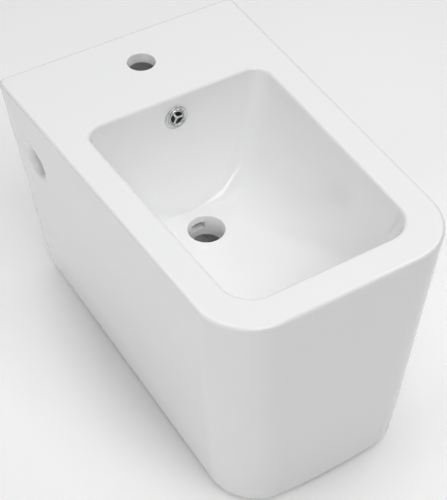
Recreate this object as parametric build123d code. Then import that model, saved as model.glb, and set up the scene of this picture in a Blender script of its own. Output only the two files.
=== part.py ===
from build123d import *
import math
import os

# Wall-hung bidet, in millimetres. The wall plane is y = 0 and the front faces -Y.
# The origin lies on the wall plane, half way between the two wall studs.

# Casting seen from above
rear_width = 360.0
front_width = 326.0
depth = 550.0
front_bow = 2.0
front_corner_radius = 72.0

# Casting seen from below
bottom_width = 274.0
bottom_depth = 528.0
bottom_front_bow = 9.0
bottom_front_corner_radius = 62.0

# Casting seen from the side
height = 370.0
stud_drop = 88.0
edge_radius = 5.0
bottom_edge_radius = 18.0

# Ceramic thicknesses
skirt_wall = 10.0
bowl_wall = 10.0
deck_thickness = 14.0
back_thickness = 15.0
bottom_thickness = 10.0

# Basin
deck_depth = 153.0
rim_width = 43.0
basin_depth = 172.0
basin_rear_radius = 23.0
basin_front_radius = 39.0
basin_lip_radius = 4.0

# Tap hole
tap_hole_diameter = 35.0
tap_hole_from_wall = 66.0
tap_lip_radius = 3.0

# Waste hole and the flat seat for its flange
waste_diameter = 46.0
waste_from_wall = 230.0
waste_seat_diameter = 80.0
waste_length = 33.0
waste_lip_radius = 6.0
waste_boss_wall = 14.0

# Overflow hole, ring and the channel down to the waste
overflow_drop = 31.0
overflow_lean = 6.0
overflow_hole_diameter = 25.0
overflow_seat_inset = 0.6
overflow_seat_reach = 12.0
ring_diameter = 32.0
ring_bore = 20.0
ring_thickness = 2.4
ring_edge_radius = 0.95
ring_tube_wall = 1.2
ring_tube_length = 15.0
insert_thickness = 2.0
insert_setback = 1.2
insert_rim_wall = 1.0
sleeve_groove_width = 1.2
sleeve_groove_depth = 0.5
spoke_width = 2.8
spoke_hub_diameter = 5.0
spoke_count = 3
channel_width = 26.0
channel_gap = 15.0
channel_wall = 9.0
outlet_width = 20.0
outlet_height = 12.0

# Openings in the back and the underside
plumbing_opening_width = 190.0
plumbing_opening_drop = 150.0
bottom_rail = 36.0
underside_rim = 34.0
opening_corner_radius = 30.0

# Side openings through which the wall nuts are reached
access_diameter = 36.0
access_from_wall = 68.0
access_drop = 98.0
access_lip_radius = 14.0
access_collar_wall = 9.0
access_collar_length = 22.0

# Wall fixing, one set on each side
stud_axis_distance = 180.0
stud_diameter = 12.0
stud_shank_diameter = 10.8
stud_thread_from_wall = 4.0
stud_in_wall = 58.0
stud_inside = 46.0
stud_chamfer = 1.2
fixing_hole_diameter = 22.0
sleeve_diameter = 21.0
sleeve_bore = 13.0
sleeve_flange_diameter = 34.0
sleeve_flange_thickness = 3.0
sleeve_end_gap = 1.0
washer_diameter = 30.0
washer_thickness = 2.5
washer_bore = 13.0
washer_edge_radius = 0.5
nut_across_flats = 19.0
nut_height = 10.0
nut_chamfer = 1.0
nut_chamfer_reach = 2.0

# Fits
slip = 0.1
thread_clearance = 0.05
seat_clearance = 0.4

# Modelling aids: how far a cut runs past what it cuts, how far the outer form is drawn past the
# wall before it is cut flat, the shortest straight between two corners, and a match between lengths
cut_overrun = 5.0
wall_overrun = 40.0
least_straight = 1.0
match = 1e-3

# Worked out from the sizes above
top_z = stud_drop
bottom_z = top_z - height
floor_z = top_z - basin_depth
waste_y = -waste_from_wall
stud_x = stud_axis_distance / 2
access_y = -access_from_wall
access_z = top_z - access_drop
base_align = (Align.CENTER, Align.CENTER, Align.MIN)


def outline(rear_half, front_half, rear_y, front_y, rear_radius, front_radius, bow=0.0):
    """Rounded outline, symmetric about x = 0, whose front edge bows out by bow."""
    corners = [
        (-rear_half, rear_y),
        (rear_half, rear_y),
        (front_half, front_y),
        (-front_half, front_y),
    ]
    edges = Line(corners[3], corners[0]) + Line(corners[0], corners[1]) + Line(corners[1], corners[2])
    if bow > 0:
        edges += ThreePointArc(corners[2], (0, front_y - bow), corners[3])
    else:
        edges += Line(corners[2], corners[3])
    face = make_face(edges)
    if rear_radius > 0:
        face = fillet(face.vertices().sort_by(Axis.Y)[-2:], rear_radius)
    return fillet(face.vertices().sort_by(Axis.Y)[:2], front_radius)


def skirt_section(share, inset, rear_y=0.0, rear_radius=0.0):
    """Outline of the casting at a share of the way down, drawn in by inset, back to rear_y."""
    rear_half = (rear_width + (bottom_width - rear_width) * share) / 2
    front_half = (front_width + (bottom_width - front_width) * share) / 2
    front = depth + (bottom_depth - depth) * share
    bow = front_bow + (bottom_front_bow - front_bow) * share
    front_r = front_corner_radius + (bottom_front_corner_radius - front_corner_radius) * share
    flare = (rear_half - front_half) / front
    return outline(
        rear_half + flare * rear_y - inset,
        front_half + flare * inset - inset,
        rear_y,
        -front + inset,
        rear_radius,
        front_r - inset,
        bow,
    )


def skirt_half_width(drop, y):
    """Half the width of the casting at a drop below the top and a distance y from the wall."""
    share = drop / height
    rear_half = (rear_width + (bottom_width - rear_width) * share) / 2
    front_half = (front_width + (bottom_width - front_width) * share) / 2
    front = depth + (bottom_depth - depth) * share
    return rear_half + (front_half - rear_half) * (-y / front)


# Each basin section: share of the depth, then how far the rear, the sides and the front have
# moved from the rim towards the waste seat, then how round the rear and front corners are
BASIN_SECTIONS = [
    (0.00, 0.00, 0.00, 0.00, 0.00),
    (0.23, 0.10, 0.06, 0.03, 0.12),
    (0.52, 0.26, 0.15, 0.10, 0.30),
    (0.76, 0.50, 0.31, 0.27, 0.55),
    (0.90, 0.80, 0.54, 0.52, 0.80),
    (0.975, 0.95, 0.80, 0.83, 0.94),
    (1.00, 1.00, 1.00, 1.00, 1.00),
]


def basin_section(section, wall):
    """One outline of the basin, moved outwards by the thickness of the bowl's wall."""
    share, rear_move, side_move, front_move, roundness = section
    seat = waste_seat_diameter / 2
    rear_y = -deck_depth
    front_y = -depth + rim_width
    rear_half = skirt_half_width(0, rear_y) - rim_width
    front_half = skirt_half_width(0, front_y) - rim_width
    near_round = seat - least_straight
    low_rear = waste_y + seat
    low_front = waste_y - seat
    half_rear = rear_half + (seat - rear_half) * side_move
    half_front = front_half + (seat - front_half) * side_move
    y_rear = rear_y + (low_rear - rear_y) * rear_move
    y_front = front_y + (low_front - front_y) * front_move
    room = min(half_front, (y_rear - y_front) / 2) - least_straight
    rear_r = basin_rear_radius + (near_round - basin_rear_radius) * roundness
    front_r = basin_front_radius + (room - basin_front_radius) * roundness
    plan = outline(
        half_rear + wall,
        half_front + wall,
        y_rear + wall,
        y_front - wall,
        rear_r + wall,
        front_r + wall,
    )
    return Pos(0, 0, top_z - share * (basin_depth + wall)) * plan


def block(x_half, y_range, z_range):
    """Box centred on x = 0."""
    y_low, y_high = sorted(y_range)
    z_low, z_high = sorted(z_range)
    centre = (0, (y_low + y_high) / 2, (z_low + z_high) / 2)
    return Pos(*centre) * Box(2 * x_half, y_high - y_low, z_high - z_low)


def rod(radius, start, end):
    """Cylinder from one point to another."""
    start = Vector(*start)
    end = Vector(*end)
    length = (end - start).length
    plane = Plane(origin=start, z_dir=end - start)
    return plane * Cylinder(radius, length, align=base_align)


def overflow_plane():
    """Seat of the overflow ring on the rear wall of the basin; its normal points into the basin."""
    lean = math.radians(overflow_lean)
    y = -deck_depth - overflow_drop * math.tan(lean) - overflow_seat_inset
    return Plane(
        origin=(0, y, top_z - overflow_drop),
        x_dir=(1, 0, 0),
        z_dir=(0, -math.cos(lean), math.sin(lean)),
    )


def make_skirt():
    """Outer form of the casting, solid all through, ground flat where it meets the wall."""
    top = Pos(0, 0, top_z) * skirt_section(0, 0, rear_y=wall_overrun)
    bottom = Pos(0, 0, bottom_z) * skirt_section(1, 0, rear_y=wall_overrun)
    solid = loft([top, bottom], ruled=True)
    low_edges = solid.faces().sort_by(Axis.Z)[0].edges().sort_by(Axis.Y)[:-1]
    solid = fillet(low_edges, bottom_edge_radius)
    solid -= block(rear_width, (0, 2 * wall_overrun), (bottom_z - wall_overrun, top_z + wall_overrun))

    # The edges round the top and the edges round the back share one radius and meet in the corners
    top_edges = solid.faces().sort_by(Axis.Z)[-1].edges()
    back_edges = solid.faces().sort_by(Axis.Y)[-1].edges()
    below_top = back_edges.filter_by(lambda e: e.bounding_box().min.Z < top_z - match)
    return fillet(top_edges + below_top, edge_radius)


def make_inside():
    """Space inside the skirt, before the bowl and the bosses are put back."""
    shares = [deck_thickness / height, 1 - bottom_thickness / height]
    sections = [
        Pos(0, 0, top_z - share * height) * skirt_section(share, skirt_wall, rear_y=-back_thickness)
        for share in shares
    ]
    return loft(sections, ruled=True)


def make_openings():
    """Opening in the back for the pipes, and opening in the underside."""
    x_half = plumbing_opening_width / 2
    z_high = top_z - plumbing_opening_drop
    z_low = bottom_z + bottom_rail
    back = block(x_half, (-back_thickness - cut_overrun, cut_overrun), (z_low, z_high))
    back = fillet(back.edges().filter_by(Axis.Y), opening_corner_radius)
    inset = skirt_wall + underside_rim
    plan = skirt_section(1, inset, rear_y=-inset, rear_radius=opening_corner_radius)
    under = extrude(Pos(0, 0, bottom_z - cut_overrun) * plan, bottom_thickness + 2 * cut_overrun)
    return back + under


def circle_edges(body, radius, z):
    """Level round edges of one radius at one height."""
    round_edges = body.edges().filter_by(GeomType.CIRCLE)
    return round_edges.filter_by(
        lambda e: abs(e.radius - radius) < match
        and abs(e.bounding_box().min.Z - z) < match
        and abs(e.bounding_box().max.Z - z) < match
    )


def make_waste_boss():
    """Thick round piece below the basin floor that carries the waste hole."""
    radius = waste_diameter / 2 + waste_boss_wall
    return rod(radius, (0, waste_y, floor_z), (0, waste_y, floor_z - waste_length))


def make_channel(bowl_outside):
    """Overflow channel: down behind the bowl, then forward under it into the waste hole."""
    rear = -deck_depth + bowl_wall + channel_gap
    high = top_z - deck_thickness
    under_bowl = floor_z - bowl_wall
    low = under_bowl - outlet_height
    boss_rear = waste_y + waste_diameter / 2 + waste_boss_wall
    down = block(channel_width / 2, (rear, boss_rear), (low, high))
    outlet = block(outlet_width / 2, (rear, waste_y), (low, under_bowl + cut_overrun))
    return (down - bowl_outside) + (outlet - bowl_outside)


def make_channel_shell():
    """Ceramic round the overflow channel, before the bowl and the channel are taken out of it."""
    rear = -deck_depth + bowl_wall + channel_gap + channel_wall
    front = waste_y + waste_diameter / 2
    return block(channel_width / 2 + channel_wall, (rear, front), (floor_z - waste_length, top_z))


def access_mouth(side):
    """Centre of the mouth of a side opening, on the outer face of the skirt."""
    return Vector(side * skirt_half_width(access_drop, access_y), access_y, access_z)


def make_access_collar(side):
    """Thick ring of ceramic behind a side opening."""
    mouth = access_mouth(side)
    inner = mouth - Vector(side * access_collar_length, 0, 0)
    return rod(access_diameter / 2 + access_collar_wall, inner, mouth)


def make_access_hole(side):
    """Cut for a side opening, through the collar and past the leaning outer face."""
    mouth = access_mouth(side)
    inner = mouth - Vector(side * (access_collar_length + skirt_wall + cut_overrun), 0, 0)
    outer = mouth + Vector(side * access_diameter / 2, 0, 0)
    return rod(access_diameter / 2, inner, outer)


def make_overflow_hole():
    """Flat seat for the overflow ring and the hole behind it into the channel."""
    seat = overflow_plane()
    seat_radius = ring_diameter / 2 + seat_clearance
    pocket = seat * Cylinder(seat_radius, overflow_seat_reach, align=base_align)
    reach = bowl_wall + channel_gap / 2
    hole = seat * Pos(0, 0, -reach) * Cylinder(overflow_hole_diameter / 2, reach, align=base_align)
    return pocket, hole


def make_round_holes():
    """Waste hole, tap hole and the two holes for the wall studs."""
    seat_high = floor_z + basin_lip_radius + cut_overrun
    boss_low = floor_z - waste_length - cut_overrun
    holes = [rod(waste_diameter / 2, (0, waste_y, seat_high), (0, waste_y, boss_low))]
    tap_y = -tap_hole_from_wall
    deck_low = top_z - deck_thickness - cut_overrun
    holes.append(rod(tap_hole_diameter / 2, (0, tap_y, top_z + cut_overrun), (0, tap_y, deck_low)))
    inner_y = -back_thickness - cut_overrun
    for side in (-1, 1):
        x = side * stud_x
        holes.append(rod(fixing_hole_diameter / 2, (x, cut_overrun, 0), (x, inner_y, 0)))
    return holes


def round_lips(body):
    """Rounds the glazed edges of the tap hole, the waste hole and the side openings."""
    body = fillet(circle_edges(body, tap_hole_diameter / 2, top_z), tap_lip_radius)
    body = fillet(circle_edges(body, waste_diameter / 2, floor_z), waste_lip_radius)
    for side in (-1, 1):
        mouth = access_mouth(side)
        lip = body.edges().filter_by(
            lambda e: (e.bounding_box().center() - mouth).length < access_collar_length / 2
            and e.bounding_box().size.Z > access_diameter * 0.9
        )
        body = fillet(lip, access_lip_radius)
    return body


def make_ceramic():
    """The fired casting: deck, rim, basin, overflow channel, skirt and back in one piece."""
    bowl_outside = loft([basin_section(section, bowl_wall) for section in BASIN_SECTIONS])
    bowl_inside = loft([basin_section(section, 0.0) for section in BASIN_SECTIONS])
    inside = make_inside() - bowl_outside - make_waste_boss() - make_channel_shell()
    for side in (-1, 1):
        inside -= make_access_collar(side)
    body = make_skirt() - inside - make_openings() - bowl_inside
    for side in (-1, 1):
        body -= make_access_hole(side)

    top_faces = body.faces().filter_by(lambda f: abs(f.center().Z - top_z) < match)
    rim_edges = top_faces.sort_by(SortBy.AREA)[-1].inner_wires()[0].edges()
    body = fillet(rim_edges, basin_lip_radius)

    body -= make_channel(bowl_outside)
    for cut in make_overflow_hole():
        body -= cut
    for cut in make_round_holes():
        body -= cut
    return round_lips(body)


def tube(plane, outer, bore, low, high):
    """Ring about a plane's normal, between two heights above the plane."""
    length = high - low
    ring = Pos(0, 0, low) * Cylinder(outer, length, align=base_align)
    ring -= Pos(0, 0, low - cut_overrun) * Cylinder(bore, length + 2 * cut_overrun, align=base_align)
    return plane * ring


def make_overflow_ring(seat):
    """Chromed flange with a soft outer edge, and the tube that goes into the wall."""
    flange = tube(Plane.XY, ring_diameter / 2, ring_bore / 2, 0, ring_thickness)
    rims = flange.edges().group_by(Axis.Z)[-1]
    flange = fillet(rims, ring_edge_radius)
    barrel = tube(Plane.XY, ring_bore / 2 + ring_tube_wall, ring_bore / 2, -ring_tube_length, 0)
    return seat * (flange + barrel)


def make_overflow_insert(seat):
    """Thin rim, three spokes and a hub, held in the bore of the ring."""
    high = ring_thickness - insert_setback
    low = high - insert_thickness
    outer = ring_bore / 2 - slip
    insert = tube(Plane.XY, outer, outer - insert_rim_wall, low, high)
    insert += Pos(0, 0, low) * Cylinder(spoke_hub_diameter / 2, insert_thickness, align=base_align)
    reach = outer - insert_rim_wall / 2
    for index in range(spoke_count):
        spoke = Box(reach, spoke_width, insert_thickness, align=(Align.MIN, Align.CENTER, Align.MIN))
        insert += Rot(0, 0, index * 360 / spoke_count) * Pos(0, 0, low) * spoke
    return seat * insert


def make_overflow_sleeve(seat):
    """Rubber sleeve between the ring's tube and the hole in the ceramic, with two grip grooves."""
    outer = overflow_hole_diameter / 2 - slip
    bore = ring_bore / 2 + ring_tube_wall + slip
    sleeve = tube(Plane.XY, outer, bore, -bowl_wall, 0)
    groove = sleeve_groove_width
    for share in (1 / 3, 2 / 3):
        low = -bowl_wall * share - groove / 2
        sleeve -= tube(Plane.XY, outer + cut_overrun, outer - sleeve_groove_depth, low, low + groove)
    return seat * sleeve


def stud_plane(side):
    """Axis of a wall stud; its normal points into the body, away from the wall."""
    return Plane(origin=(side * stud_x, 0, 0), x_dir=(1, 0, 0), z_dir=(0, -1, 0))


def make_stud(side):
    """Stud with a thread at each end and a plain shank between them, with bevelled ends."""
    x = side * stud_x
    thread = stud_diameter / 2
    inner_thread = -back_thickness - sleeve_flange_thickness
    in_wall = rod(thread, (x, stud_thread_from_wall, 0), (x, stud_in_wall, 0))
    in_body = rod(thread, (x, inner_thread, 0), (x, -stud_inside, 0))
    in_wall = chamfer(in_wall.edges().group_by(Axis.Y)[-1], stud_chamfer)
    in_body = chamfer(in_body.edges().group_by(Axis.Y)[0], stud_chamfer)
    shank = rod(stud_shank_diameter / 2, (x, stud_thread_from_wall, 0), (x, inner_thread, 0))
    return in_body + shank + in_wall


def make_sleeve(side):
    """Plastic sleeve with a flange, which keeps the stud off the ceramic."""
    axis = stud_plane(side)
    body = tube(axis, sleeve_diameter / 2, sleeve_bore / 2, sleeve_end_gap, back_thickness)
    flange_top = back_thickness + sleeve_flange_thickness
    flange = tube(axis, sleeve_flange_diameter / 2, sleeve_bore / 2, back_thickness, flange_top)
    return body + flange


def make_washer(side):
    """Steel washer between the sleeve's flange and the nut."""
    low = back_thickness + sleeve_flange_thickness
    washer = tube(stud_plane(side), washer_diameter / 2, washer_bore / 2, low, low + washer_thickness)
    rims = washer.edges().filter_by(GeomType.CIRCLE)
    rims = rims.filter_by(lambda e: abs(e.radius - washer_diameter / 2) < match)
    return fillet(rims, washer_edge_radius)


def make_nut(side):
    """Hexagon nut with its corners turned off at both ends."""
    low = back_thickness + sleeve_flange_thickness + washer_thickness
    across_corners = nut_across_flats / math.cos(math.pi / 6)
    hexagon = extrude(RegularPolygon(nut_across_flats / 2, 6, major_radius=False), nut_height)
    turned = Cylinder(across_corners / 2, nut_height, align=base_align)
    turned = chamfer(turned.edges().filter_by(GeomType.CIRCLE), nut_chamfer_reach, nut_chamfer)
    thread = stud_diameter / 2 + thread_clearance
    bore = Pos(0, 0, -cut_overrun) * Cylinder(thread, nut_height + 2 * cut_overrun, align=base_align)
    return stud_plane(side) * Pos(0, 0, low) * ((hexagon & turned) - bore)


def save(node, shape):
    """Writes one node and says what it holds."""
    solids = shape.solids()
    print(node, "valid", shape.is_valid, "solids", len(solids), "volume", round(shape.volume))
    shape = Compound(children=solids) if len(solids) > 1 else solids[0]
    export_step(shape, f"parts/{node}.step")


os.makedirs("parts", exist_ok=True)
save("ceramic_body", make_ceramic())
ring_seat = overflow_plane()
save("overflow_ring", make_overflow_ring(ring_seat))
save("overflow_insert", make_overflow_insert(ring_seat))
save("overflow_sleeve", make_overflow_sleeve(ring_seat))
for name, side in (("left", -1), ("right", 1)):
    save(f"wall_stud_{name}", make_stud(side))
    save(f"stud_sleeve_{name}", make_sleeve(side))
    save(f"stud_washer_{name}", make_washer(side))
    save(f"stud_nut_{name}", make_nut(side))
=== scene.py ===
# %% [markdown]
# Wall-hung bidet, dressed for the camera.
#
# The object is one glazed casting with a chromed overflow ring, and two sets of wall fixings inside.
# The CAD model says where everything is and how large it is. This script gives the pieces that show
# their finish: a smooth glazed skin for the casting, a turned ring, cut threads and soft studio light.
# All sizes are in metres. The wall is the plane y = 0, the front faces -Y and +Z is up.

# %% Load the frame
import math

import bmesh
import bpy
from mathutils import Matrix, Vector


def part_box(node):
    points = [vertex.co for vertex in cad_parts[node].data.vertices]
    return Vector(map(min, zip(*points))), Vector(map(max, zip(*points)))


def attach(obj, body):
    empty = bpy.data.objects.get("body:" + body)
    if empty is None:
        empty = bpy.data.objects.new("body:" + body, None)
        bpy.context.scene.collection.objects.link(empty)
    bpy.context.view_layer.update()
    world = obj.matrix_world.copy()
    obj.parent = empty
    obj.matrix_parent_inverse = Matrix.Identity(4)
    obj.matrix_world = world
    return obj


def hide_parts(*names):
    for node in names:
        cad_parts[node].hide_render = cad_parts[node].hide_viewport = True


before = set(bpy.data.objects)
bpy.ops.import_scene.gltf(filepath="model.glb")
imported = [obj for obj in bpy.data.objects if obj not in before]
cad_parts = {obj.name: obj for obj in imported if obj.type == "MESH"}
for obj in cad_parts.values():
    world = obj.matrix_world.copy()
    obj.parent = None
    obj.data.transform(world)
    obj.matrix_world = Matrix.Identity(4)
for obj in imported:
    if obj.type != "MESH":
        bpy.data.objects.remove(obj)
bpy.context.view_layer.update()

mm = 0.001
print("CAD nodes:", sorted(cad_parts))

# %% [markdown]
# The casting's outline comes first, because everything else is placed from it. Seen from above it is
# a trapezoid with round front corners, and it leans in towards the bottom. The overall height, depth
# and the place of the top are read from the CAD node, so the skin can't drift away from it.

# %% Sizes of the casting
low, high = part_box("ceramic_body")
top_z = high.z
bottom_z = low.z
height = top_z - bottom_z
front_bow = 2 * mm
depth = -low.y - front_bow
rear_half = 180 * mm
front_half = 163 * mm
bottom_half = 137 * mm
front_lean = 22 * mm
bottom_depth = depth - front_lean
bottom_bow = 9 * mm
rear_radius = 10 * mm
rear_radius_low = 6 * mm
front_radius = 72 * mm
front_radius_low = 62 * mm
least_radius = 0.6 * mm
edge_radius = 5 * mm
bottom_edge_radius = 18 * mm
skirt_wall = 10 * mm
bowl_wall = 10 * mm
deck_thickness = 14 * mm
back_thickness = 15 * mm
bottom_thickness = 10 * mm
underside_inset = 44 * mm
underside_radius = 30 * mm
print("height", round(height, 4), "depth", round(depth, 4), "top", round(top_z, 4))

# %% Sizes of the basin and the holes
deck_depth = 153 * mm
rim_width = 43 * mm
basin_depth = 172 * mm
basin_rear_radius = 23 * mm
basin_front_radius = 39 * mm
lip_radius = 4 * mm
seat_radius = 40 * mm
waste_y = -230 * mm
waste_radius = 23 * mm
waste_lip = 1.8 * mm
waste_flare = 2.4 * mm
waste_flare_depth = 14 * mm
waste_length = 33 * mm
boss_wall = 14 * mm
boss_radius = waste_radius + boss_wall
floor_z = top_z - basin_depth
tap_y = -66 * mm
tap_radius = 17.5 * mm
tap_lip = 1.2 * mm
tap_flare = 1.3 * mm
tap_flare_depth = 8 * mm
access_y = -68 * mm
access_drop = 98 * mm
access_z = top_z - access_drop
access_radius = 18 * mm
access_lip = 14 * mm
least_straight = 1 * mm

# %% [markdown]
# A closed outline is the potter's template of this piece. Each template is a ring with the same
# number of vertices, spread evenly along its length, so that neighbouring rings can be bridged into
# clean strips of quads. A polygon cut into a box would show its facets in the glaze, and rings
# keep the round corners round.

# %% A rounded outline with evenly spread vertices
ring_count = 320
tiny = 1e-9


def rounded_outline(rear_half, front_half, rear_y, front_y, rear_r, front_r, bow=0.0, count=ring_count):
    """Points of a rounded trapezoid, evenly spread, from the middle of the rear edge round to it again."""
    lean = math.atan2(rear_half - front_half, rear_y - front_y)
    rear_turn = math.pi / 2 + lean
    front_turn = math.pi - rear_turn
    rear_cut = rear_r * math.tan(rear_turn / 2)
    front_cut = front_r * math.tan(front_turn / 2)
    rear_x = rear_half - rear_cut
    front_x = front_half - front_cut
    side_length = math.hypot(rear_half - front_half, rear_y - front_y) - rear_cut - front_cut
    spans = [rear_x, rear_r * rear_turn, side_length, front_r * front_turn, front_x]
    half_length = sum(spans)

    def point(distance):
        """Point of the right half at a distance along it from the middle of the rear edge."""
        if distance <= spans[0]:
            return distance, rear_y
        distance -= spans[0]
        if distance <= spans[1]:
            angle = math.pi / 2 - distance / max(rear_r, tiny)
            return rear_x + rear_r * math.cos(angle), rear_y - rear_r + rear_r * math.sin(angle)
        distance -= spans[1]
        end = math.pi / 2 - rear_turn
        start_x = rear_x + rear_r * math.cos(end)
        start_y = rear_y - rear_r + rear_r * math.sin(end)
        if distance <= spans[2]:
            return start_x - distance * math.sin(lean), start_y - distance * math.cos(lean)
        distance -= spans[2]
        angle = end - distance / max(front_r, tiny)
        if distance <= spans[3]:
            return front_x + front_r * math.cos(angle), front_y + front_r + front_r * math.sin(angle)
        distance -= spans[3]
        return front_x - distance, front_y

    points = []
    for index in range(count):
        along = 2 * half_length * index / count
        side = 1 if along <= half_length else -1
        x, y = point(along if side > 0 else 2 * half_length - along)
        reach = min(max((front_y + front_r - y) / max(front_r, tiny), 0.0), 1.0)
        y -= bow * (1 - (x / front_half) ** 2) * reach
        points.append((side * x, y))
    return points


print("outline points:", len(rounded_outline(rear_half, front_half, 0, -depth, rear_radius, front_radius)))

# %% [markdown]
# The shell could be many circles bridged in pairs, but growing it is simpler. One circle is laid on the
# first template, its edge loop is extruded, and the new loop is slid onto the next template. Every
# vertex carries the number of its station on the template, and extruding copies that number.

# %% Growing a shell from ring to ring


def deselect_all():
    """Nothing selected and nothing active, in object mode."""
    bpy.ops.object.select_all(action="DESELECT")
    bpy.context.view_layer.objects.active = None


def slide_to(points):
    """Moves the selected loop's vertices, in edit mode, to their stations among the points."""
    mesh = bmesh.from_edit_mesh(bpy.context.object.data)
    station = mesh.verts.layers.int["station"]
    for vertex in mesh.verts:
        if vertex.select:
            vertex.co = points[vertex[station]]
    bmesh.update_edit_mesh(bpy.context.object.data)


def grow_rings(name, rings, fill, element):
    """An object in edit mode that starts as the first ring and is extruded through the others."""
    deselect_all()
    count = len(rings[0])
    bpy.ops.mesh.primitive_circle_add(vertices=count, fill_type=fill, location=(0, 0, 0))
    grown = bpy.context.object
    grown.name = name
    grown.data.name = name
    stations = grown.data.attributes.new("station", "INT", "POINT")
    stations.data.foreach_set("value", list(range(count)))
    bpy.ops.object.mode_set(mode="EDIT")
    bpy.ops.mesh.select_mode(type=element)
    bpy.ops.mesh.select_all(action="SELECT")
    slide_to(rings[0])
    for points in rings[1:]:
        bpy.ops.mesh.extrude_region()
        slide_to(points)
    return grown


def face_outwards():
    """Turns all faces of the object in edit mode outwards and leaves edit mode."""
    bpy.ops.mesh.select_all(action="SELECT")
    bpy.ops.mesh.normals_make_consistent(inside=False)
    bpy.ops.object.mode_set(mode="OBJECT")


def shell_from_rings(name, rings):
    """A closed shell through the rings, whose last ring is bridged to the first."""
    shell = grow_rings(name, rings, "NOTHING", "EDGE")
    bpy.ops.mesh.select_all(action="DESELECT")
    bpy.ops.mesh.select_non_manifold(extend=False, use_wire=False, use_boundary=True)
    bpy.ops.mesh.bridge_edge_loops()
    face_outwards()
    print(name, "rings", len(rings), "faces", len(shell.data.polygons))
    return shell


# %% [markdown]
# The basin's walls fall steeply from the rim, then sweep in to a round seat for the waste. A short
# table gives the shape at seven depths, as a modeller's profile gauges would, and a smooth curve
# through the table gives the rings in between. Each row holds shares of the way from rim to seat: how
# deep it lies, how far the rear, the sides and the front have come in, and how round it has become.

# %% Outlines of the skirt and the basin
basin_gauges = [
    (0.00, 0.00, 0.00, 0.00, 0.00),
    (0.23, 0.10, 0.06, 0.03, 0.12),
    (0.52, 0.26, 0.15, 0.10, 0.30),
    (0.76, 0.50, 0.31, 0.27, 0.55),
    (0.90, 0.80, 0.54, 0.52, 0.80),
    (0.975, 0.95, 0.80, 0.83, 0.94),
    (1.00, 1.00, 1.00, 1.00, 1.00),
]


def between(first, second, share):
    """Value at a share of the way from the first to the second."""
    return first + (second - first) * share


def gauge_at(place):
    """Smooth curve through the gauges: place 0 is the rim and the last place is the seat."""
    last = len(basin_gauges) - 1
    index = min(int(place), last - 1)
    share = place - index
    rows = [basin_gauges[min(max(index + step, 0), last)] for step in (-1, 0, 1, 2)]
    values = []
    for before, start, end, after in zip(*rows):
        tangent_in = (end - before) / 2
        tangent_out = (after - start) / 2
        cubic = 2 * share**3 - 3 * share**2 + 1
        values.append(
            cubic * start
            + (share**3 - 2 * share**2 + share) * tangent_in
            + (1 - cubic) * end
            + (share**3 - share**2) * tangent_out
        )
    return values


def skirt_half_width(drop, y):
    """Half the width of the casting at a drop below the top and a place y."""
    share = drop / height
    rear = between(rear_half, bottom_half, share)
    front = between(front_half, bottom_half, share)
    return between(rear, front, -y / between(depth, bottom_depth, share))


def skirt_ring(z, inset=0.0, rear_inset=None, rear_r=None):
    """Outline of the casting at a height, drawn in by inset."""
    share = (top_z - z) / height
    rear_y = -(inset if rear_inset is None else rear_inset)
    rear = between(rear_half, bottom_half, share)
    front = between(front_half, bottom_half, share)
    front_y = between(depth, bottom_depth, share)
    flare = (rear - front) / front_y
    if rear_r is None:
        rear_r = max(between(rear_radius, rear_radius_low, share) - inset, least_radius)
    points = rounded_outline(
        rear + flare * rear_y - inset,
        front + flare * inset - inset,
        rear_y,
        -front_y + inset,
        rear_r,
        between(front_radius, front_radius_low, share) - inset,
        between(front_bow, bottom_bow, share),
    )
    return [(x, y, z) for x, y in points]


def basin_ring(place, wall=0.0, z=None):
    """Outline of the basin at a place on the gauges, moved outwards by a wall."""
    share, rear_move, side_move, front_move, roundness = gauge_at(place)
    rear_y = -deck_depth
    front_y = -depth + rim_width
    rear = between(skirt_half_width(0, rear_y) - rim_width, seat_radius, side_move)
    front = between(skirt_half_width(0, front_y) - rim_width, seat_radius, side_move)
    y_rear = between(rear_y, waste_y + seat_radius, rear_move)
    y_front = between(front_y, waste_y - seat_radius, front_move)
    room = min(front, (y_rear - y_front) / 2) - least_straight
    points = rounded_outline(
        rear + wall,
        front + wall,
        y_rear + wall,
        y_front - wall,
        between(basin_rear_radius, seat_radius - least_straight, roundness) + wall,
        between(basin_front_radius, room, roundness) + wall,
    )
    if z is None:
        z = top_z - share * (basin_depth + wall)
    return [(x, y, z) for x, y in points]


def waste_ring(radius, z):
    """Circle about the waste's axis that starts, as the outlines do, at the rear."""
    turns = [2 * math.pi * index / ring_count for index in range(ring_count)]
    return [(radius * math.sin(turn), waste_y + radius * math.cos(turn), z) for turn in turns]


middle_place = (len(basin_gauges) - 1) / 2
print("gauges at the middle of the table:", [round(value, 3) for value in gauge_at(middle_place)])

# %% [markdown]
# The whole wall of the casting is one closed shell of rings: up the outside of the skirt, over the
# edge, across the deck, down into the basin, through the waste hole and back up and down inside.
# Every edge of real sanitaryware is rounded, because glaze pulls away from sharp ones, so each edge
# is a few rings on a quarter circle, with a ring just before it that keeps the flat side flat.

# %% Helpers for the edges of the casting
keep_flat = 1.2 * mm
halvings = 30


def quarter(radius, steps=6):
    """Steps of a quarter circle, as pairs: how far it has turned away and how far it has gone on."""
    angles = [math.pi / 2 * step / steps for step in range(steps + 1)]
    return [(radius * (1 - math.cos(angle)), radius * math.sin(angle)) for angle in angles]


def at_height(ring, z):
    """The ring moved to a height."""
    return [(x, y, z) for x, y, _ in ring]


def place_at(drop):
    """Place on the gauges at a drop below the rim, found by halving."""
    low_place, high_place = 0.0, float(len(basin_gauges) - 1)
    for _ in range(halvings):
        middle = (low_place + high_place) / 2
        if gauge_at(middle)[0] * basin_depth < drop:
            low_place = middle
        else:
            high_place = middle
    return low_place


def opening_ring(grow=0.0):
    """Outline of the opening in the underside, made larger by grow."""
    return skirt_ring(bottom_z, underside_inset - grow, rear_r=underside_radius + grow)


print("lip ends at place", round(place_at(lip_radius), 3))

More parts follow.
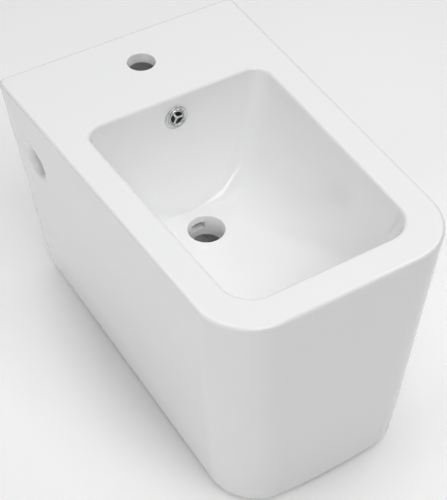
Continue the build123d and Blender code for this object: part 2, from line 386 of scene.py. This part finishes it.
# %% Rings up the skirt and over its edge
opening_lip = 3 * mm
opening_lip_steps = 4
bottom_edge_steps = 10
side_steps = 10
inner_bottom_z = bottom_z + bottom_thickness
skirt_rings = [at_height(opening_ring(), inner_bottom_z)]
for across, along in quarter(opening_lip, opening_lip_steps):
    skirt_rings.append(at_height(opening_ring(across), bottom_z + opening_lip - along))
skirt_rings.append(skirt_ring(bottom_z, bottom_edge_radius + keep_flat, edge_radius + keep_flat))
for across, along in quarter(bottom_edge_radius, bottom_edge_steps):
    inset = bottom_edge_radius - along
    rear_inset = edge_radius * inset / bottom_edge_radius
    ring = skirt_ring(bottom_z, inset, rear_inset, rear_radius_low)
    skirt_rings.append(at_height(ring, bottom_z + across))
side_low = bottom_z + bottom_edge_radius
side_high = top_z - edge_radius
for step in range(1, side_steps):
    skirt_rings.append(skirt_ring(between(side_low, side_high, step / side_steps)))
skirt_rings.append(skirt_ring(side_high - keep_flat))
for across, along in quarter(edge_radius):
    skirt_rings.append(at_height(skirt_ring(side_high, across), side_high + along))
skirt_rings.append(at_height(skirt_ring(side_high, edge_radius + keep_flat), top_z))
print("skirt rings:", len(skirt_rings))

# %% Rings down into the basin and through the waste hole
last_place = len(basin_gauges) - 1
basin_steps = 30
basin_rings = [basin_ring(0, lip_radius + keep_flat, top_z)]
for across, along in quarter(lip_radius):
    basin_rings.append(basin_ring(place_at(across), lip_radius - along, top_z - across))
lip_end = place_at(lip_radius)
for step in range(1, basin_steps + 1):
    basin_rings.append(basin_ring(between(lip_end, last_place, step / basin_steps)))
mouth_radius = waste_radius + waste_flare
basin_rings.append(waste_ring(mouth_radius + waste_lip + keep_flat, floor_z))
for across, along in quarter(waste_lip):
    basin_rings.append(waste_ring(mouth_radius + waste_lip - along, floor_z - across))
throat_end = floor_z - waste_length
basin_rings.append(waste_ring(waste_radius, floor_z - waste_flare_depth))
basin_rings.append(waste_ring(waste_radius, throat_end))
print("basin rings:", len(basin_rings))

# %% Rings back up under the basin and down inside the skirt
deck_under = top_z - deck_thickness
bowl_steps = 14
hidden_rings = [waste_ring(boss_radius, throat_end), waste_ring(boss_radius, floor_z - bowl_wall)]
for step in range(bowl_steps + 1):
    place = between(last_place, 0, step / bowl_steps)
    ring = basin_ring(place, bowl_wall)
    if ring[0][2] < deck_under - keep_flat:
        hidden_rings.append(ring)
hidden_rings.append(basin_ring(place_at(deck_thickness), bowl_wall, deck_under))
hidden_steps = 4
for step in range(hidden_steps + 1):
    z = between(deck_under, inner_bottom_z, step / hidden_steps)
    hidden_rings.append(skirt_ring(z, skirt_wall, back_thickness))
print("hidden rings:", len(hidden_rings))

casting = shell_from_rings("casting_skin", skirt_rings + basin_rings + hidden_rings)

# %% [markdown]
# Holes are cut with booleans, as they are cut in the leather-hard clay. A cutter is a box, or a plug of
# circles that stands through the wall on both sides, and its own rounded shoulder gives the hole its lip.
# The cutters are helpers, so each is deleted as soon as its modifier is applied.

# %% Plugs, boxes and cuts
circle_points = 96
corner_segments = 16
nearly_all = 0.9


def plug_from_rings(name, rings):
    """A closed plug through the rings, with a flat face at each end."""
    plug = grow_rings(name, rings, "NGON", "FACE")
    face_outwards()
    return plug


def circle_about(origin, x_dir, y_dir, radius, count=circle_points):
    """Points of a circle in the plane of two directions."""
    turns = [2 * math.pi * index / count for index in range(count)]
    return [
        tuple(Vector(origin) + radius * (math.cos(turn) * Vector(x_dir) + math.sin(turn) * Vector(y_dir)))
        for turn in turns
    ]


def box_between(name, corner, opposite, round_axis=None, radius=0.0):
    """A box between two corners. Its edges along one axis may be rounded."""
    deselect_all()
    centre = [(a + b) / 2 for a, b in zip(corner, opposite)]
    size = [abs(b - a) for a, b in zip(corner, opposite)]
    bpy.ops.mesh.primitive_cube_add(size=1, location=(0, 0, 0))
    box = bpy.context.object
    box.name = name
    box.data.name = name
    box.data.transform(Matrix.Translation(centre) @ Matrix.Diagonal((*size, 1)))
    if round_axis is not None:
        bpy.ops.object.mode_set(mode="EDIT")
        bpy.ops.mesh.select_mode(type="EDGE")
        mesh = bmesh.from_edit_mesh(box.data)
        for edge in mesh.edges:
            run = edge.verts[0].co - edge.verts[1].co
            edge.select = abs(run[round_axis]) > nearly_all * run.length
        bmesh.update_edit_mesh(box.data)
        bpy.ops.mesh.bevel(offset=radius, segments=corner_segments, affect="EDGES")
        bpy.ops.object.mode_set(mode="OBJECT")
    return box


def join_pieces(pieces):
    """One object of all the pieces."""
    deselect_all()
    for piece in pieces:
        piece.select_set(True)
    bpy.context.view_layer.objects.active = pieces[0]
    if len(pieces) > 1:
        bpy.ops.object.join()
    return bpy.context.object


def combine(body, tool, operation):
    """Applies a boolean of the tool to the body and deletes the tool."""
    deselect_all()
    body.select_set(True)
    bpy.context.view_layer.objects.active = body
    cut = body.modifiers.new(operation.lower(), "BOOLEAN")
    cut.operation = operation
    cut.solver = "EXACT"
    cut.object = tool
    bpy.ops.object.modifier_apply(modifier=cut.name)
    name = tool.name
    bpy.data.objects.remove(tool)
    print(operation.lower(), name, "->", len(body.data.polygons), "faces")


# %% [markdown]
# The overflow channel is a square pipe of clay luted to the back of the bowl. Its blocks are trimmed by
# a plug of the bowl's own shape, so that none of it stands in the water, and then they join the wall.

# %% The clay of the overflow channel
channel_half = 13 * mm
channel_wall = 9 * mm
channel_depth = 15 * mm
channel_rear = -deck_depth + bowl_wall + channel_depth
outlet_half = 10 * mm
outlet_height = 12 * mm
outlet_low = floor_z - bowl_wall - outlet_height
above_throat_end = 0.2 * mm
overrun = 5 * mm
plug_steps = 18


def bowl_plug(wall):
    """The space in the bowl and the given part of its wall, from above the rim down to the floor."""
    rings = [at_height(basin_ring(0, wall), top_z + overrun)]
    for step in range(plug_steps + 1):
        rings.append(basin_ring(between(0, last_place, step / plug_steps), wall))
    return plug_from_rings("bowl_plug", rings)


channel_clay = box_between(
    "channel_clay",
    (-channel_half - channel_wall, channel_rear + channel_wall, throat_end + above_throat_end),
    (channel_half + channel_wall, waste_y + waste_radius + overrun, top_z - overrun),
)
combine(channel_clay, bowl_plug(bowl_wall / 2), "DIFFERENCE")
throat_plug = plug_from_rings(
    "throat_plug",
    [waste_ring(waste_radius + overrun, throat_end - overrun), waste_ring(waste_radius + overrun, floor_z)],
)
combine(channel_clay, throat_plug, "DIFFERENCE")

# %% [markdown]
# The round openings in the sides are lined with a collar, so that a spanner doesn't chip the edge. The
# side of the casting leans, so each ring of a collar or a cutter is measured from the leaning face.

# %% Collars of the side openings
collar_length = 22 * mm
collar_wall = 9 * mm
collar_outer = access_radius + collar_wall
collar_end = 5 * mm


def side_ring(side, radius, outwards, level=False):
    """Circle about a side opening's axis, at a distance outwards from the leaning face, or level."""
    centre_x = skirt_half_width(top_z - access_z, access_y)
    ring = []
    for x, y, z in circle_about((0, access_y, access_z), (0, 1, 0), (0, 0, 1), radius):
        face_x = centre_x if level else skirt_half_width(top_z - z, y)
        ring.append((side * (face_x + outwards), y, z))
    return ring


collars = []
for side in (-1, 1):
    collar_rings = [
        side_ring(side, collar_outer, -collar_end),
        side_ring(side, collar_outer, -collar_length, True),
    ]
    collars.append(plug_from_rings("collar", collar_rings))
combine(casting, join_pieces(collars + [channel_clay]), "UNION")

# %% [markdown]
# The overflow ring sits on a flat seat that is cut square to the leaning rear wall of the basin. Seat
# and hole are one stepped plug on the seat's own axes.

# %% Cutters of the overflow, the tap hole and the fixing holes
overflow_drop = 31 * mm
overflow_lean = math.radians(6)
seat_inset = 0.6 * mm
seat_cut_radius = 16.4 * mm
seat_cut_reach = 12 * mm
overflow_hole_radius = 12.5 * mm
overflow_hole_reach = bowl_wall + 7.5 * mm
seat_y = -deck_depth - overflow_drop * math.tan(overflow_lean) - seat_inset
seat_origin = Vector((0, seat_y, top_z - overflow_drop))
seat_normal = Vector((0, -math.cos(overflow_lean), math.sin(overflow_lean)))
seat_right = Vector((1, 0, 0))
seat_up = seat_normal.cross(seat_right)


def seat_ring(radius, outwards, count=circle_points):
    """Circle about the overflow's axis, at a distance in front of its seat."""
    return circle_about(seat_origin + outwards * seat_normal, seat_right, seat_up, radius, count)


overflow_cutter = plug_from_rings(
    "overflow_cutter",
    [
        seat_ring(seat_cut_radius, seat_cut_reach),
        seat_ring(seat_cut_radius, 0),
        seat_ring(overflow_hole_radius, 0),
        seat_ring(overflow_hole_radius, -overflow_hole_reach),
    ],
)


def lip_profile(radius, lip, end=math.radians(80), count=8):
    """Radius and drop of a rounded shoulder that almost reaches the level of the surface."""
    steps = [end * step / count for step in range(count + 1)]
    return [(radius + lip * (1 - math.cos(turn)), lip * (1 - math.sin(turn))) for turn in steps]


def tap_ring(radius, z):
    """Circle about the tap hole's axis."""
    return circle_about((0, tap_y, z), (1, 0, 0), (0, 1, 0), radius)


tap_rings = [tap_ring(tap_radius, deck_under - overrun)]
tap_mouth = tap_radius + tap_flare
tap_rings.append(tap_ring(tap_radius, top_z - tap_flare_depth))
tap_rings += [tap_ring(radius, top_z - drop) for radius, drop in lip_profile(tap_mouth, tap_lip)]
tap_rings.append(tap_ring(tap_mouth + 2 * tap_lip, top_z + overrun))
tap_cutter = plug_from_rings("tap_cutter", tap_rings)

stud_x = 90 * mm
fixing_radius = 11 * mm
fixing_points = 64
fixing_cutters = []
for side in (-1, 1):
    fixing_rings = [
        circle_about((side * stud_x, y, 0), (1, 0, 0), (0, 0, 1), fixing_radius, fixing_points)
        for y in (overrun, -back_thickness - overrun)
    ]
    fixing_cutters.append(plug_from_rings("fixing_cutter", fixing_rings))
print("overflow seat at", [round(value, 4) for value in seat_origin])

# %% Cutters of the side openings and the back opening
access_lip_end = math.radians(87)
access_lip_steps = 14
access_cutters = []
for side in (-1, 1):
    access_rings = [side_ring(side, access_radius, -collar_length - overrun, True)]
    for radius, drop in lip_profile(access_radius, access_lip, access_lip_end, access_lip_steps):
        access_rings.append(side_ring(side, radius, -drop))
    access_rings.append(side_ring(side, access_radius + 2 * access_lip, overrun))
    access_cutters.append(plug_from_rings("access_cutter", access_rings))
pipe_half = 95 * mm
pipe_drop = 150 * mm
pipe_rise = 36 * mm
pipe_corner = 30 * mm
pipe_cutter = box_between(
    "pipe_cutter",
    (-pipe_half, -back_thickness - overrun, bottom_z + pipe_rise),
    (pipe_half, overrun, top_z - pipe_drop),
    round_axis=1,
    radius=pipe_corner,
)
cutters = [tap_cutter, overflow_cutter, pipe_cutter] + fixing_cutters + access_cutters
combine(casting, join_pieces(cutters), "DIFFERENCE")

# %% [markdown]
# The channel is hollowed last. It runs down behind the bowl and turns forward into the waste hole. The
# outlet's floor lies a hair above the channel's, so that the two boxes share no face.

# %% The hollow of the overflow channel
outlet_overlap = 1 * mm
hair = 0.01 * mm
channel_hollow = box_between(
    "channel_hollow",
    (-channel_half, channel_rear, outlet_low),
    (channel_half, waste_y + boss_radius, deck_under),
)
outlet_hollow = box_between(
    "outlet_hollow",
    (-outlet_half, channel_rear - outlet_overlap, outlet_low + hair),
    (outlet_half, waste_y, floor_z - bowl_wall + overrun),
)
combine(channel_hollow, outlet_hollow, "UNION")
combine(channel_hollow, bowl_plug(bowl_wall), "DIFFERENCE")
combine(casting, channel_hollow, "DIFFERENCE")

# %% [markdown]
# After the cuts the mesh mixes long flat faces with small round ones. Weighted normals let the large
# flat faces win at their edges, so the deck stays flat right up to each lip. Where cuts only graze each
# other a pinhole can be left in the mesh, so small holes are filled first.

# %% Finishing the casting
pinhole_sides = 6


def finish_smooth(piece, angle=math.radians(35)):
    """Fills pinholes, then shades smooth, with creases kept sharp and normals weighted by area."""
    deselect_all()
    piece.select_set(True)
    bpy.context.view_layer.objects.active = piece
    stations = piece.data.attributes.get("station")
    if stations is not None:
        piece.data.attributes.remove(stations)
    bpy.ops.object.mode_set(mode="EDIT")
    bpy.ops.mesh.select_all(action="SELECT")
    bpy.ops.mesh.fill_holes(sides=pinhole_sides)
    bpy.ops.object.mode_set(mode="OBJECT")
    bpy.ops.object.shade_smooth_by_angle(angle=angle)
    weigh = piece.modifiers.new("weigh_normals", "WEIGHTED_NORMAL")
    weigh.keep_sharp = True
    bpy.ops.object.modifier_apply(modifier=weigh.name)


def count_open_edges(piece):
    """Number of edges that don't have exactly two faces."""
    mesh = bmesh.new()
    mesh.from_mesh(piece.data)
    open_edges = sum(1 for edge in mesh.edges if len(edge.link_faces) != 2)
    mesh.free()
    return open_edges


finish_smooth(casting)
print("casting faces", len(casting.data.polygons), "open edges", count_open_edges(casting))
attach(casting, "root")
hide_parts("ceramic_body")

# %% [markdown]
# The overflow ring is turned brass with bright chrome. Its face is a soft flat band, then a fine raised
# lip round the bore. The profile goes once round the metal, and the last ring meets the first. Its rows
# give the radius and the height above the seat, and they alone are in millimetres.

# %% The overflow ring
ring_outer = 16.0
ring_bore = 10.0
ring_tube = 11.2
ring_points = 128
ring_profile = [
    (ring_outer, 0.0),
    (ring_outer, 0.8),
    (ring_outer - 0.2, 1.3),
    (ring_outer - 0.6, 1.6),
    (ring_outer - 1.2, 1.72),
    (ring_outer - 2.2, 1.7),
    (ring_outer - 2.9, 1.5),
    (ring_outer - 3.2, 1.25),
    (ring_outer - 3.5, 1.25),
    (ring_outer - 3.75, 1.6),
    (ring_outer - 4.1, 2.1),
    (ring_outer - 4.5, 2.35),
    (ring_outer - 4.9, 2.35),
    (ring_outer - 5.3, 2.1),
    (ring_outer - 5.6, 1.5),
    (ring_bore + 0.15, 0.8),
    (ring_bore, 0.2),
    (ring_bore, -14.6),
    (ring_bore + 0.3, -15.0),
    (ring_tube - 0.3, -15.0),
    (ring_tube, -14.6),
    (ring_tube, 0.0),
]
ring_rings = [seat_ring(radius * mm, along * mm, ring_points) for radius, along in ring_profile]
overflow_ring = shell_from_rings("overflow_ring_turned", ring_rings)
finish_smooth(overflow_ring)
print("overflow ring open edges", count_open_edges(overflow_ring))
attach(overflow_ring, "root")
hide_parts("overflow_ring")

# %% [markdown]
# The studs carry a rolled M12 thread at each end. A thread is a ring of points whose radius depends on
# how far the helix has turned at that height, so rings stacked along the stud give real flanks.

# %% Threaded studs
pitch = 1.75 * mm
thread_major = 6 * mm
thread_minor = 5.15 * mm
shank_radius = 5.4 * mm
thread_stations = 40
rings_per_turn = 10
thread_crease = math.radians(50)
flank_steepness = 1.35
crest_flat = 0.15
stud_end = 58 * mm
stud_inner_end = -46 * mm
shank_from = 4 * mm
shank_to = -18 * mm
end_bevel = 1.2 * mm


def thread_radius(turn, y, ceiling):
    """Radius of the thread at a turn and a place along the stud: flanks with a flat crest and root."""
    phase = (y / pitch + turn / (2 * math.pi)) % 1.0
    away = 2 * abs(phase - 0.5)
    flank = min(max(away * flank_steepness - crest_flat, 0.0), 1.0)
    return min(between(thread_major, thread_minor, flank), ceiling)


def thread_rings(x, start, end):
    """Rings of a thread between two places along the stud, bevelled at the end."""
    count = round(abs(end - start) / pitch * rings_per_turn)
    turns = [2 * math.pi * index / thread_stations for index in range(thread_stations)]
    rings = []
    for step in range(count + 1):
        y = between(start, end, step / count)
        ceiling = thread_major - max(end_bevel - abs(end - y), 0.0)
        ceiling = min(ceiling, shank_radius + abs(y - start))
        ring = []
        for turn in turns:
            radius = thread_radius(turn, y, ceiling)
            ring.append((x + radius * math.cos(turn), y, radius * math.sin(turn)))
        rings.append(ring)
    return rings


studs = []
for side, word in ((-1, "left"), (1, "right")):
    x = side * stud_x
    wall_thread = thread_rings(x, shank_from, stud_end)
    nut_thread = thread_rings(x, shank_to, stud_inner_end)
    stud = plug_from_rings(f"wall_stud_{word}_threaded", wall_thread[::-1] + nut_thread)
    finish_smooth(stud, thread_crease)
    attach(stud, "root")
    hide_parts(f"wall_stud_{word}")
    studs.append(stud)
    print(stud.name, "faces", len(stud.data.polygons), "open edges", count_open_edges(stud))

# %% [markdown]
# The glaze is white, glossy and very even. Close up it has a faint orange peel and tiny changes of
# tone, and the ground back that rests on the wall is bare, matt clay. Everything reads Object
# coordinates, so the pattern keeps its real size on every side.

# %% Helpers for materials


def new_material(name, colour, roughness, metallic=0.0):
    """A material with one Principled shader, its node tree and that shader."""
    material = bpy.data.materials.new(name)
    material.use_nodes = True
    tree = material.node_tree
    shader = tree.nodes["Principled BSDF"]
    shader.inputs["Base Color"].default_value = (*colour, 1)
    shader.inputs["Roughness"].default_value = roughness
    shader.inputs["Metallic"].default_value = metallic
    return material, tree, shader


def object_place(tree):
    """Object coordinates, in metres."""
    return tree.nodes.new("ShaderNodeTexCoord").outputs["Object"]


def object_noise(tree, scale, detail=3.0):
    """Noise on Object coordinates; scale is in waves per metre."""
    noise = tree.nodes.new("ShaderNodeTexNoise")
    noise.inputs["Scale"].default_value = scale
    noise.inputs["Detail"].default_value = detail
    tree.links.new(object_place(tree), noise.inputs["Vector"])
    return noise.outputs["Fac"]


def ramp(tree, value, low, high, start=0.0, end=1.0):
    """The value mapped from start and end to low and high."""
    node = tree.nodes.new("ShaderNodeMapRange")
    node.inputs["From Min"].default_value = start
    node.inputs["From Max"].default_value = end
    node.inputs["To Min"].default_value = low
    node.inputs["To Max"].default_value = high
    tree.links.new(value, node.inputs["Value"])
    return node.outputs["Result"]


def mix_colours(tree, share, first, second):
    """A colour between two, by a share; each is a colour or a socket."""
    node = tree.nodes.new("ShaderNodeMix")
    node.data_type = "RGBA"
    tree.links.new(share, node.inputs[0])
    colour_inputs = [socket for socket in node.inputs if socket.type == "RGBA"]
    for socket, colour in zip(colour_inputs, (first, second)):
        if isinstance(colour, tuple):
            socket.default_value = (*colour, 1)
        else:
            tree.links.new(colour, socket)
    return [socket for socket in node.outputs if socket.type == "RGBA"][0]


def add_bump(tree, shader, height_value, distance, strength):
    """Bump from a height, with its real depth in metres."""
    node = tree.nodes.new("ShaderNodeBump")
    node.inputs["Strength"].default_value = strength
    node.inputs["Distance"].default_value = distance
    tree.links.new(height_value, node.inputs["Height"])
    tree.links.new(node.outputs["Normal"], shader.inputs["Normal"])


def coat(piece, material):
    """Gives the whole piece one material."""
    piece.data.materials.clear()
    piece.data.materials.append(material)


# %% White glaze
bare_clay_starts = -0.6 * mm
bare_clay_full = -0.1 * mm
bare_clay_roughness = 0.85
glaze, tree, shader = new_material("white_glaze_gloss", (0.86, 0.86, 0.86), 0.08)
split = tree.nodes.new("ShaderNodeSeparateXYZ")
tree.links.new(object_place(tree), split.inputs["Vector"])
bare = ramp(tree, split.outputs["Y"], 0.0, 1.0, bare_clay_starts, bare_clay_full)
glazed_tone = mix_colours(tree, object_noise(tree, 9.0), (0.885, 0.887, 0.89), (0.905, 0.904, 0.902))
clay_tone = mix_colours(tree, object_noise(tree, 160.0), (0.72, 0.70, 0.66), (0.80, 0.78, 0.75))
tree.links.new(mix_colours(tree, bare, glazed_tone, clay_tone), shader.inputs["Base Color"])
glaze_roughness = ramp(tree, object_noise(tree, 35.0), 0.05, 0.11)
rough_mix = tree.nodes.new("ShaderNodeMix")
tree.links.new(bare, rough_mix.inputs[0])
tree.links.new(glaze_roughness, rough_mix.inputs[2])
rough_mix.inputs[3].default_value = bare_clay_roughness
tree.links.new(rough_mix.outputs[0], shader.inputs["Roughness"])
shader.inputs["IOR"].default_value = 1.5
add_bump(tree, shader, object_noise(tree, 180.0, 2.0), 0.02 * mm, 0.25)
coat(casting, glaze)
print("glaze nodes:", len(tree.nodes))

# %% [markdown]
# The small pieces differ mostly in how rough they are. Chrome is nearly a mirror with fine haze, and
# zinc plating is mottled, with rougher and darker patches. The rubber is matt and the plastic is satin.

# %% Bright chrome
chrome, tree, shader = new_material("bright_chrome", (0.62, 0.63, 0.64), 0.06, 1.0)
tree.links.new(ramp(tree, object_noise(tree, 900.0), 0.04, 0.10), shader.inputs["Roughness"])
add_bump(tree, shader, object_noise(tree, 400.0, 2.0), 0.01 * mm, 0.3)
coat(overflow_ring, chrome)
print("chrome nodes:", len(tree.nodes))

# %% Black rubber
rubber, tree, shader = new_material("black_rubber_matt", (0.025, 0.025, 0.027), 0.7)
grain = object_noise(tree, 1500.0)
tree.links.new(ramp(tree, grain, 0.55, 0.8), shader.inputs["Roughness"])
add_bump(tree, shader, grain, 0.05 * mm, 0.5)
print("rubber nodes:", len(tree.nodes))

# %% Zinc-plated steel
zinc, tree, shader = new_material("zinc_plated_steel", (0.62, 0.64, 0.66), 0.35, 1.0)
patches = object_noise(tree, 260.0, 5.0)
mottle = mix_colours(tree, patches, (0.55, 0.57, 0.60), (0.74, 0.75, 0.74))
tree.links.new(mottle, shader.inputs["Base Color"])
tree.links.new(ramp(tree, patches, 0.25, 0.5), shader.inputs["Roughness"])
add_bump(tree, shader, object_noise(tree, 1800.0), 0.01 * mm, 0.4)
for stud in studs:
    coat(stud, zinc)
print("zinc nodes:", len(tree.nodes))

# %% Moulded plastic
plastic, tree, shader = new_material("moulded_white_plastic", (0.82, 0.82, 0.80), 0.4)
satin = object_noise(tree, 1200.0)
tree.links.new(ramp(tree, satin, 0.35, 0.48), shader.inputs["Roughness"])
add_bump(tree, shader, satin, 0.02 * mm, 0.3)
print("plastic nodes:", len(tree.nodes))

# %% Finishes of the pieces that keep their CAD shape
finishes = {"overflow_insert": chrome, "overflow_sleeve": rubber}
for word in ("left", "right"):
    finishes[f"stud_washer_{word}"] = zinc
    finishes[f"stud_nut_{word}"] = zinc
    finishes[f"stud_sleeve_{word}"] = plastic
for node, finish in finishes.items():
    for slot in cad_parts[node].material_slots:
        slot.material = finish
print("finished CAD nodes:", sorted(finishes))

# %% [markdown]
# The photo shows the bidet off its wall on a cut-out white ground, so the floor lies just below its flat
# underside. Away from the bidet the floor has a painted glow, an emission though it is no lamp, which
# brings it near the photo's white. Close to the bidet no glow is painted, so the soft contact shadow stays.

# %% Floor
floor_gap = 0.5 * mm
floor_size = 6.0
footprint_scale = (5.6, 3.4, 0)
footprint_shift = (0, 0.9, 0)
painted_glow = 0.12
painted_glow_starts = 0.85
painted_glow_full = 1.3
deselect_all()
bpy.ops.mesh.primitive_plane_add(size=floor_size, location=(0, 0, 0))
floor = bpy.context.object
floor.name = "studio_floor"
floor.data.transform(Matrix.Translation((0, 0, bottom_z - floor_gap)))
floor_paint, tree, shader = new_material("pale_floor", (0.95, 0.95, 0.95), 0.9)
floor_tone = mix_colours(tree, object_noise(tree, 3.0), (0.94, 0.94, 0.94), (0.96, 0.96, 0.96))
tree.links.new(floor_tone, shader.inputs["Base Color"])
footprint = tree.nodes.new("ShaderNodeMapping")
footprint.inputs["Location"].default_value = footprint_shift
footprint.inputs["Scale"].default_value = footprint_scale
tree.links.new(object_place(tree), footprint.inputs["Vector"])
reach = tree.nodes.new("ShaderNodeVectorMath")
reach.operation = "LENGTH"
tree.links.new(footprint.outputs["Vector"], reach.inputs[0])
# Painted glow: the floor emits light away from the bidet and none close to it, though it is no lamp.
painted_glow_here = ramp(tree, reach.outputs["Value"], 0.0, painted_glow, painted_glow_starts, painted_glow_full)
shader.inputs["Emission Color"].default_value = (1, 1, 1, 1)
tree.links.new(painted_glow_here, shader.inputs["Emission Strength"])
floor.data.materials.append(floor_paint)
print("floor at", round(bottom_z - floor_gap, 4))

# %% [markdown]
# The room is white and soft. Seen straight on it is nearly white, but it lights the bidet only a little,
# because an even light from everywhere would wash the shapes out. Large lamps do the rest, and each side
# of the bidet gets its tone from one or two of them. A row gives a lamp's place, its width and its power.

# %% White room and lamps
room_light = 0.03
room_seen = 0.85
world = bpy.data.worlds.new("white_room")
bpy.context.scene.world = world
world.use_nodes = True
backdrop = world.node_tree.nodes["Background"]
backdrop.inputs["Color"].default_value = (1, 1, 1, 1)
ray_kind = world.node_tree.nodes.new("ShaderNodeLightPath")
strength = ramp(world.node_tree, ray_kind.outputs["Is Camera Ray"], room_light, room_seen)
world.node_tree.links.new(strength, backdrop.inputs["Strength"])


def face_along(place, direction):
    """A transform that puts a lamp or a camera at a place, looking along a direction."""
    return Matrix.Translation(place) @ Vector(direction).to_track_quat("-Z", "Y").to_matrix().to_4x4()


def area_lamp(name, place, target, size, power):
    """A square soft lamp that faces its target; its power is in watts."""
    data = bpy.data.lights.new(name, "AREA")
    data.shape = "SQUARE"
    data.size = size
    data.energy = power
    lamp = bpy.data.objects.new(name, data)
    bpy.context.scene.collection.objects.link(lamp)
    lamp.matrix_world = face_along(place, Vector(target) - Vector(place))


middle_of_bidet = (0, -0.27, 0)
lamps = {
    "high_front": ((0, -1.5, 2.0), 1.2, 20.0),
    "high_rear": ((0.78, 0.99, 2.37), 3.2, 25.0),
    "high_right": ((1.6, -0.3, 1.8), 1.2, 10.0),
    "high_left": ((-1.6, -0.3, 1.8), 1.2, 2.0),
    "low_left": ((-2.4, -0.3, 0.7), 1.4, 12.0),
    "overhead": ((-0.3, 0.25, 2.2), 1.6, 9.0),
    "beside_camera": ((-1.1, -2.0, 1.7), 1.0, 7.0),
}
for name, (lamp_place, size, power) in lamps.items():
    area_lamp(name, lamp_place, middle_of_bidet, size, power)
print("lamps:", sorted(lamps))

# %% [markdown]
# The camera stands where the photo was taken from. Its place, its direction and its lens were worked out
# from the edges of the bidet in the photo.

# %% Camera
camera_place = (-0.6444, -1.3225, 1.1550)
camera_view = (0.3685, 0.5997, -0.7104)
camera_data = bpy.data.cameras.new("photo_camera")
camera_data.lens = 95.17
camera_data.sensor_width = 36
camera = bpy.data.objects.new("photo_camera", camera_data)
bpy.context.scene.collection.objects.link(camera)
camera.matrix_world = face_along(camera_place, camera_view)
bpy.context.scene.camera = camera
bpy.context.scene.view_settings.view_transform = "Standard"
print("camera at", camera_place, "looking along", camera_view)
